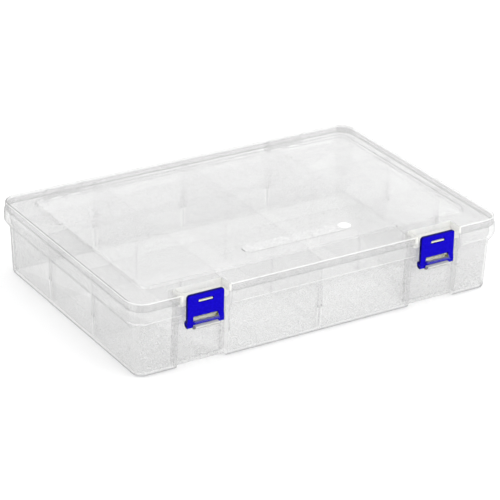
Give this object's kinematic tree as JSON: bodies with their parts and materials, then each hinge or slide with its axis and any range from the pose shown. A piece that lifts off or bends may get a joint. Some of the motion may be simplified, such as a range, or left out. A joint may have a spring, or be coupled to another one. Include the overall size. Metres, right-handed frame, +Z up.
{
  "type": "compartment storage box",
  "caption": "Shallow clear box with a hinged lid, snap latches on its front edge and lift-out crossing dividers that make a grid of compartments.",
  "frame": {"origin": "middle of the flat underside, under the middle of the closed lid's plan", "axes": "+X to the right along the front, +Y from the latches at the front to the hinge at the back, +Z up"},
  "size_m": [0.3228, 0.2254, 0.0635],
  "materials": {
    "clear_tray": "clear, slightly frosted",
    "clear_lid": "clear, slightly frosted",
    "latch": "glossy moulded",
    "clear_divider": "clear, slightly frosted"
  },
  "bodies": {
    "tray": {"base_tray": "clear_tray", "cross_divider_1": "clear_divider", "cross_divider_2": "clear_divider", "cross_divider_3": "clear_divider", "row_divider_1": "clear_divider", "row_divider_2": "clear_divider"},
    "lid": {"lid": "clear_lid"},
    "latch_left": {"latch_left": "latch"},
    "latch_right": {"latch_right": "latch"}
  },
  "joints": [
    {"name": "lid_hinge", "type": "hinge", "parent": "tray", "child": "lid", "pos_m": [0, 0.1122, 0.05], "axis": [-1, 0, 0], "range_deg": [0, 110]},
    {"name": "latch_left_pivot", "type": "hinge", "parent": "tray", "child": "latch_left", "pos_m": [-0.1016, -0.1057, 0.0358], "axis": [1, 0, 0], "range_deg": [0, 165]},
    {"name": "latch_right_pivot", "type": "hinge", "parent": "tray", "child": "latch_right", "pos_m": [0.1016, -0.1057, 0.0358], "axis": [1, 0, 0], "range_deg": [0, 165]}
  ]
}
